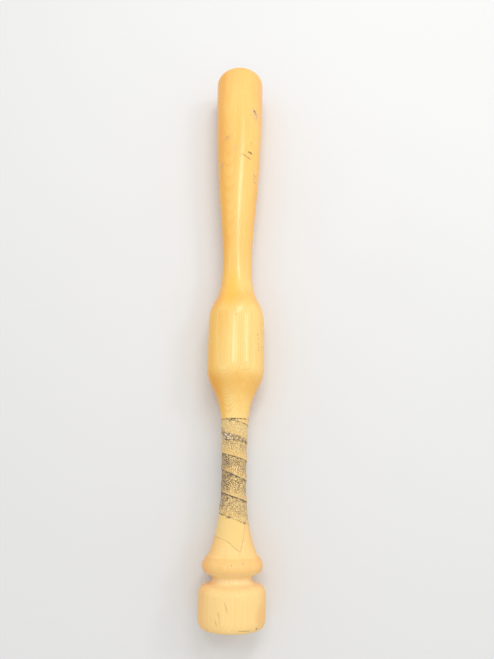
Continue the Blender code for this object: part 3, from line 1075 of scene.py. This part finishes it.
handled = calc(cloth, "MULTIPLY", left, within(cloth, turns, MIDDLE_STARTS, MIDDLE_ENDS))
by_turn = grey_steps(cloth, turns, TURN_DIRT, ALL_TURNS)
dirt = calc(cloth, "MULTIPLY_ADD", handled, HANDLED_DIRT, by_turn)
clouds = noise(cloth, cloth_spot, CLOUD_SCALE, 3.0)
clouds = calc(cloth, "MULTIPLY_ADD", clouds, CLOUDINESS, LEAST_CLOUDY)
dirt = fold(cloth, "MULTIPLY", dirt, clouds, ramp(cloth, from_edge, *EDGE_RUBBED))
cloth_colour = blend(cloth, dirt, CLEAN_COTTON, SOILED_COTTON)
past_start = ramp(cloth, turns, *AFTER_START)
near_rim = calc(cloth, "MULTIPLY", ramp(cloth, from_edge, *EDGE_PALER), past_start)
cloth_colour = blend(cloth, near_rim, cloth_colour, EDGE_TONE, "MULTIPLY")
print("dirt stops:", len(TURN_DIRT))

# %% [markdown]
# ## Specks in the weave
#
# Dirt doesn't lie evenly on cloth: it fills the hollows between the threads and leaves their crowns clean.
# The tape was wound on a slant, so its hollows lie on a slant too. A fine noise, turned by 45 degrees and
# squeezed, gives them. Its high places become dark specks and its low ones clean bright flecks, both the
# stronger the dirtier the turn is.

# %% Specks in the weave
SPECK = (0.16, 0.085, 0.03, 1.0)
BRIGHT_THREAD = (0.98, 0.77, 0.42, 1.0)
SPECK_SLANT = math.radians(-45)
SPECK_SCALES = (1000.0, 1700.0, 1700.0)
SPECK_LIMITS, CROWN_LIMITS = (0.50, 0.56), (0.47, 0.39)
DIRT_WIDENS = 0.07
SPECKS_BY_DIRT, FAINTEST_SPECK = 2.8, 0.03
CROWNS_BY_DIRT = (0.0, 0.15, 0.0, 0.9)

feeds = {"Vector": cloth_spot, "Angle": SPECK_SLANT}
slanted = add(cloth, "ShaderNodeVectorRotate", feeds, rotation_type="Z_AXIS").outputs[0]
hollow = stretched_noise(cloth, slanted, SPECK_SCALES, 1.0)
specks = ramp(cloth, calc(cloth, "MULTIPLY_ADD", dirt, DIRT_WIDENS, hollow), *SPECK_LIMITS)
darkness = calc(cloth, "MULTIPLY_ADD", dirt, SPECKS_BY_DIRT, FAINTEST_SPECK)
specks = calc(cloth, "MULTIPLY", specks, darkness)
specks.node.use_clamp = True
crowns = ramp(cloth, hollow, *CROWN_LIMITS)
crowns = calc(cloth, "MULTIPLY", crowns, ramp(cloth, dirt, *CROWNS_BY_DIRT))
cloth_colour = blend(cloth, specks, cloth_colour, SPECK)
cloth_colour = blend(cloth, crowns, cloth_colour, BRIGHT_THREAD)
print("specks slant by degrees:", round(math.degrees(SPECK_SLANT)))

# %% [markdown]
# ## Pale rims and dark lines
#
# The lower edge of each turn stands up, so hands rub it pale, and dirt settles in the step beneath it. The
# dark line in that step is dirt and also painted shadow, cast by the raised edge onto the turn below. It is
# broken: one noise makes it thick and thin, and another cuts it into dashes. The trimmed top has the same
# dark line. The cut corner at the start has a weaker one.

# %% Pale rims and dark lines
DIRT_AND_SHADOW = (0.09, 0.07, 0.055, 1.0)
WORN_RIM, DARK_LINE = (BRIGHT_THREAD, 0.7), (DIRT_AND_SHADOW, 0.85)
BREAK_SCALE, DASH_SCALE = 330.0, 480.0
RIM_WIDTH, RIM_BREAKS = (1.3 * MM, 0.7 * MM), (0.42, 0.60)
LINE_WIDTH, TOP_LINE_WIDTH = (1.2 * MM, 0.5 * MM), (0.9 * MM, 0.3 * MM)
UNEVENNESS = 6 * MM
HEAVY_WIDENS, FIRST_TURNS = 0.9 * MM, (2.0, 1.9)
CUT_LINE_WIDTH, CUT_ENDS = (0.6 * MM, 0.2 * MM), (0.13, 0.10)
CUT_STRENGTH = 0.55
DASHES = (0.38, 0.54, 0.35, 1.0)

broken = noise(cloth, cloth_spot, BREAK_SCALE, 2.0)
rim_share = ramp(cloth, from_edge, *RIM_WIDTH)
rim = fold(cloth, "MULTIPLY", rim_share, past_start, ramp(cloth, broken, *RIM_BREAKS))
cloth_colour = paint(cloth, cloth_colour, rim, WORN_RIM)

uneven = calc(cloth, "MULTIPLY_ADD", broken, -UNEVENNESS, UNEVENNESS / 2)
heavy = calc(cloth, "MULTIPLY", left, ramp(cloth, turns, *FIRST_TURNS))
to_line = calc(cloth, "MULTIPLY_ADD", heavy, -HEAVY_WIDENS, calc(cloth, "ADD", to_next, uneven))
# Dirt and painted shadow: the step below each turn's raised lower edge is darkened here.
step_dirt_and_shadow = ramp(cloth, to_line, *LINE_WIDTH)
top_line = ramp(cloth, calc(cloth, "ADD", to_top, uneven), *TOP_LINE_WIDTH)
cut_edge = ramp(cloth, from_edge, *CUT_LINE_WIDTH)
cut_edge = calc(cloth, "MULTIPLY", cut_edge, ramp(cloth, turns, *CUT_ENDS))
cut_line = calc(cloth, "MAXIMUM", cut_edge, ramp(cloth, from_cut, *CUT_LINE_WIDTH))
cut_line = calc(cloth, "MULTIPLY", cut_line, CUT_STRENGTH)
dark_lines = fold(cloth, "MAXIMUM", step_dirt_and_shadow, top_line, cut_line)
dashes = ramp(cloth, noise(cloth, cloth_spot, DASH_SCALE, 1.0), *DASHES)
dark_lines = calc(cloth, "MULTIPLY", dark_lines, dashes)
cloth_colour = paint(cloth, cloth_colour, dark_lines, DARK_LINE)
print("dark lines up to mm", LINE_WIDTH[0] / MM, "wide")

# %% [markdown]
# ## A seam that was pulled open
#
# On the fifth turn the overlap was pulled up, and a band of bare, knotted threads shows: white knots with
# dark dirt between them, on a greyer ground. The band lies along the lower edge, between two counts of
# turns, and is wider on the left. A Voronoi pattern gives the knots: close to a cell's middle a knot is
# pale, and far from it lies the dirt. The white fades to the right, and the far left has none.

# %% A seam that was pulled open
GREY_COTTON = ((0.42, 0.33, 0.25, 1.0), 0.35)
KNOT_DIRT = (DIRT_AND_SHADOW, 0.6)
WHITE_THREAD = ((0.93, 0.90, 0.80, 1.0), 0.9)
BAND_STARTS, BAND_ENDS = (4.80, 4.88), (5.3, 5.24)
BAND_WIDENS = (10 * MM, -6 * MM, 4.5 * MM, 7.0 * MM)
BAND_FADES = 1.5 * MM
KNOT_SCALE, KNOTS_END, GAPS_START = 520.0, (0.38, 0.27), (0.42, 0.58)
WHITE_TO_LEFT, FAR_LEFT = (8 * MM, -6 * MM, 0.35, 1.0), (-11 * MM, -9 * MM)

band_width = ramp(cloth, cloth_x, *BAND_WIDENS)
band_reach = calc(cloth, "SUBTRACT", band_width, from_edge)
band = within(cloth, turns, BAND_STARTS, BAND_ENDS)
band = calc(cloth, "MULTIPLY", band, ramp(cloth, band_reach, 0.0, BAND_FADES))
feeds = {"Vector": cloth_spot, "Scale": KNOT_SCALE}
knots = add(cloth, "ShaderNodeTexVoronoi", feeds).outputs["Distance"]
gaps = calc(cloth, "MULTIPLY", band, ramp(cloth, knots, *GAPS_START))
threads = fold(cloth, "MULTIPLY", band, ramp(cloth, knots, *KNOTS_END),
               ramp(cloth, cloth_x, *WHITE_TO_LEFT), ramp(cloth, cloth_x, *FAR_LEFT))
for pattern, finish in ((band, GREY_COTTON), (gaps, KNOT_DIRT), (threads, WHITE_THREAD)):
    cloth_colour = paint(cloth, cloth_colour, pattern, finish)
print("pulled seam from turn", BAND_STARTS[0], "to", BAND_ENDS[0])

# %% [markdown]
# ## Stains on the cloth
#
# Last come single stains: thin smears where dirt was rubbed in, and two dark blotches next to a seam. They
# are the same kind of spot as the marks on the wood, so the same node group draws them.

# %% Stains on the cloth
STAINS = {
    "smear": [(86.3, 47.3, 5.0, 2.2, 60), (179.5, 13.3, 3.0, 1.8, 20), (179.7, -28.5, 2.4, 1.8, 60),
              (121.7, -51, 9.0, 4.0, 150), (104.0, -54, 8.0, 3.0, 160), (165.5, -55, 13.0, 1.4, 124),
              (139.5, -30, 10.0, 6.0, 60)],
    "blotch": [(128.6, -13.7, 6.5, 3.4, 66), (90.8, -13.8, 3.4, 2.4, 70)],
}
STAIN_FINISH = {"smear": ((0.15, 0.12, 0.12, 1.0), 0.38), "blotch": ((0.16, 0.12, 0.13, 1.0), 0.75)}

for kind, rows in STAINS.items():
    cloth_colour = paint(cloth, cloth_colour, join_marks(cloth, rows), STAIN_FINISH[kind])
cloth.links.new(cloth_colour, cloth_shader.inputs["Base Color"])
print("stains:", {kind: len(rows) for kind, rows in STAINS.items()})

# %% [markdown]
# ## Weave of the cotton
#
# Up close the cloth is a plain weave of threads half a millimetre apart. Two sine waves, one along the
# strip and one across it, make the threads pass over and under each other, and a fine noise breaks them
# up. Cotton is dull and slightly fuzzy, so the roughness is high and there is a little sheen.

# %% Weave of the cotton
THREAD_SPACING = 0.5 * MM
AROUND_HANDLE = 78 * MM
FUZZ_SCALE = 2600.0
WEAVE_DEPTH = 0.05 * MM
LEAST_DULL, FUZZ_DULLS = 0.78, 0.15
SHEEN, SHEEN_ROUGHNESS = 0.15, 0.5

wave_along = calc(cloth, "MULTIPLY", turns, AROUND_HANDLE * math.tau / THREAD_SPACING)
wave_across = calc(cloth, "MULTIPLY", from_edge, math.tau / THREAD_SPACING)
weave = calc(cloth, "MULTIPLY", calc(cloth, "SINE", wave_along), calc(cloth, "SINE", wave_across))
fuzz = noise(cloth, cloth_spot, FUZZ_SCALE, 2.0)
feel(cloth, cloth_shader, weigh(cloth, weave, ((fuzz, 1.5), (specks, -0.8))), WEAVE_DEPTH)
dull = calc(cloth, "MULTIPLY_ADD", fuzz, FUZZ_DULLS, LEAST_DULL)
cloth.links.new(dull, cloth_shader.inputs["Roughness"])
cloth_shader.inputs["Sheen Weight"].default_value = SHEEN
cloth_shader.inputs["Sheen Roughness"].default_value = SHEEN_ROUGHNESS
print("weave's threads mm apart:", THREAD_SPACING / MM)

# %% [markdown]
# ## Cotton for the loose threads
#
# A loose thread is a single strand of the same cotton, paler than the worn cloth where it is new and grey
# where it has picked up dirt. A slow noise decides which. It is too thin to show a weave, so it has none.

# %% Cotton for the loose threads
NEW_STRAND, DIRTY_STRAND = (0.88, 0.80, 0.66, 1.0), (0.40, 0.32, 0.22, 1.0)
STRAND_SCALE, STRAND_SOILED = 120.0, (0.35, 0.7)
STRAND_ROUGHNESS = 0.9

strand, strand_shader = open_material(thread_cotton)
strand_spot = add(strand, "ShaderNodeTexCoord").outputs["Object"]
soiled = ramp(strand, noise(strand, strand_spot, STRAND_SCALE, 2.0), *STRAND_SOILED)
strand_colour = blend(strand, soiled, NEW_STRAND, DIRTY_STRAND)
strand.links.new(strand_colour, strand_shader.inputs["Base Color"])
strand_shader.inputs["Roughness"].default_value = STRAND_ROUGHNESS
print("thread nodes:", len(strand.nodes))

# %% [markdown]
# ## Find the line on which the bat rests
#
# The bat lies on its knob and on its barrel, the two fattest places, and these differ by almost two
# millimetres. So the floor's line under the bat is a straight edge held against the profile from below:
# of all such lines, the one that touches on both sides of the balance point is where the bat comes to rest.

# %% Find the line on which the bat rests
def rest_line(rows):
    """Depth and slope of the straight edge that touches the profile on both sides of its middle."""
    middle = rows[:, 0].mean()
    near, far = rows[rows[:, 0] < middle], rows[rows[:, 0] >= middle]
    best = None
    for place, radius in near:
        slope = ((far[:, 1] - radius) / (far[:, 0] - place)).max()
        over = (rows[:, 1] - radius - slope * (rows[:, 0] - place)).max()
        if best is None or over < best[0]:
            best = (over, radius - slope * place, slope)
    return best[1:]


floor_depth, floor_slope = rest_line(fine_profile)
print("floor depth mm:", floor_depth / MM, "slope degrees:", math.degrees(math.atan(floor_slope)))

# %% [markdown]
# ## Lay the floor under the bat
#
# The floor is a wide pale sheet along that line, dull and slightly gritty like a painted board, so that the
# bat's colours and its soft shadow stand out. It is only the stage, and it isn't part of the bat.

# %% Lay the floor under the bat
FLOOR_PALE, FLOOR_SHADE = (0.77, 0.77, 0.765, 1.0), (0.72, 0.72, 0.715, 1.0)
FLOOR_REACH = 6.0
GRIT_SCALE, CLOUDING_SCALE = 900.0, 3.0
GRIT_SHARE, GRIT_DEPTH, GRIT_STRENGTH = 0.4, 0.05 * MM, 0.5
FLOOR_ROUGHNESS = (0.3, 0.7, 0.55, 0.7)

pale_floor = bpy.data.materials.new("pale_floor")
ground, ground_shader = open_material(pale_floor)
ground_spot = add(ground, "ShaderNodeTexCoord").outputs["Object"]
grit = noise(ground, ground_spot, GRIT_SCALE, 3.0)
clouding = noise(ground, ground_spot, CLOUDING_SCALE, 3.0)
clouding_share = calc(ground, "MULTIPLY", clouding, 1 - GRIT_SHARE)
shading = calc(ground, "MULTIPLY_ADD", grit, GRIT_SHARE, clouding_share)
ground_colour = blend(ground, shading, FLOOR_PALE, FLOOR_SHADE)
ground.links.new(ground_colour, ground_shader.inputs["Base Color"])
ground.links.new(ramp(ground, clouding, *FLOOR_ROUGHNESS), ground_shader.inputs["Roughness"])
feel(ground, ground_shader, grit, GRIT_DEPTH, GRIT_STRENGTH)

outline = ((-1, -1), (1, -1), (1, 1), (-1, 1))
corners = [(across * FLOOR_REACH, along * FLOOR_REACH, -floor_depth - floor_slope * along * FLOOR_REACH)
           for across, along in outline]
sheet = bpy.data.meshes.new("floor")
sheet.from_pydata(corners, [], [(0, 1, 2, 3)])
sheet.materials.append(pale_floor)
floor = bpy.data.objects.new("floor", sheet)
bpy.context.scene.collection.objects.link(floor)
print("floor reaches m:", FLOOR_REACH)

# %% [markdown]
# ## Light the bat softly
#
# The bat is seen from above in a room with lamps on the ceiling. A wide soft lamp overhead gives plain
# light, under which a colour looks about as it is written. Three smaller ones are there for the lacquer,
# because a polished round bar mirrors a lamp as a bright line along it: the first draws the line down the
# barrel and the neck, and the other two draw the two bands on the bulge. Where a lamp stands and how wide
# it is decide where its line runs and how broad it looks.

# %% Light the bat softly
from mathutils import Matrix, Vector

MIDDLE = (0.0, 0.3, 0.0)


def lamp(name, place, aim, size, power, turn=0.0):
    """A flat lamp of this size, at a place, aimed at a point and turned round its own aim."""
    data = bpy.data.lights.new(name, "AREA")
    data.shape = "RECTANGLE"
    data.size, data.size_y = size
    data.energy = power
    light = bpy.data.objects.new(name, data)
    direction = Vector(aim) - Vector(place)
    facing = direction.to_track_quat("-Z", "Y").to_matrix().to_4x4()
    light.matrix_world = Matrix.Translation(place) @ facing @ Matrix.Rotation(turn, 4, "Z")
    bpy.context.scene.collection.objects.link(light)


lamp("soft_ceiling", place=(0.75, 0.6, 2.0), aim=MIDDLE, size=(1.4, 1.8), power=4)
lamp("barrel_tube", place=(0.40, 1.29, 1.5), aim=(0.40, 1.29, 0.0), size=(0.92, 0.30), power=8,
     turn=math.radians(41))
lamp("bulge_tube", place=(-0.17, 0.74, 1.5), aim=(-0.17, 0.74, 0.0), size=(0.34, 0.36), power=3.0)
lamp("side_tube", place=(1.44, 0.91, 1.5), aim=MIDDLE, size=(0.45, 0.36), power=4.2)

# %% [markdown]
# ## A pale room around it
#
# The rest of the light comes evenly from all sides, as from pale walls. What the camera and the lacquer
# see of the room is set apart from it, by the kind of ray that looks: the backdrop stays pale and calm
# without sending more light onto the bat.

# %% A pale room around it
ROOM_LIGHT = {"Color": (1.0, 1.0, 1.0, 1.0), "Strength": 0.745}
BACKDROP = {"Color": (0.93, 0.93, 0.92, 1.0), "Strength": 0.85}

room = bpy.data.worlds.new("pale_room")
bpy.context.scene.world = room
room.use_nodes = True
walls = room.node_tree
walls.nodes.clear()
ray = add(walls, "ShaderNodeLightPath").outputs
kinds_that_see = (ray["Is Camera Ray"], ray["Is Transmission Ray"], ray["Is Glossy Ray"])
seen = fold(walls, "MAXIMUM", *kinds_that_see)
lighting = add(walls, "ShaderNodeBackground", ROOM_LIGHT).outputs[0]
backdrop = add(walls, "ShaderNodeBackground", BACKDROP).outputs[0]
surround = add(walls, "ShaderNodeMixShader", (seen, lighting, backdrop)).outputs[0]
add(walls, "ShaderNodeOutputWorld", {"Surface": surround})
print("room light:", ROOM_LIGHT["Strength"])

# %% [markdown]
# ## Stand the camera where the photographer stood
#
# The bat's outline gives the camera away: the knob is drawn larger than the barrel because it was nearer.
# The camera stood half a metre above the floor, over the lower third of the bat, and was tilted a little
# towards the tip. It had a wide lens, as a telephone has. The focal length is known in pixels of the
# picture, and the sensor's height turns it into millimetres.

# %% Stand the camera where the photographer stood
PICTURE_HEIGHT = 659
FOCAL_PIXELS = 495
CAMERA_PLACE = (0.011387, 0.1101, 0.496)
CAMERA_TILT = math.radians(18.5)
CAMERA_ROLL = math.radians(0.505)
NEAREST_SEEN = 0.01

optics = bpy.data.cameras.new("camera")
optics.sensor_fit = "VERTICAL"
optics.lens = FOCAL_PIXELS / PICTURE_HEIGHT * optics.sensor_height
optics.clip_start = NEAREST_SEEN
camera = bpy.data.objects.new("camera", optics)
tilt = Matrix.Rotation(CAMERA_TILT, 4, "X") @ Matrix.Rotation(CAMERA_ROLL, 4, "Z")
camera.matrix_world = Matrix.Translation(CAMERA_PLACE) @ tilt
bpy.context.scene.collection.objects.link(camera)
bpy.context.scene.camera = camera
bpy.context.scene.view_settings.view_transform = "Standard"
print("lens mm:", round(optics.lens, 2))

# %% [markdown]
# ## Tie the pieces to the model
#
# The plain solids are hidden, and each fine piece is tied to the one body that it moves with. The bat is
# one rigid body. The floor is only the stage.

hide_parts("turned_bat")
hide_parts("grip_strip")
for piece, slot in ((turned_wood, "wood"), (wound_strip, "grip_cloth"), (loose_threads, "grip_cloth")):
    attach(piece, "root")
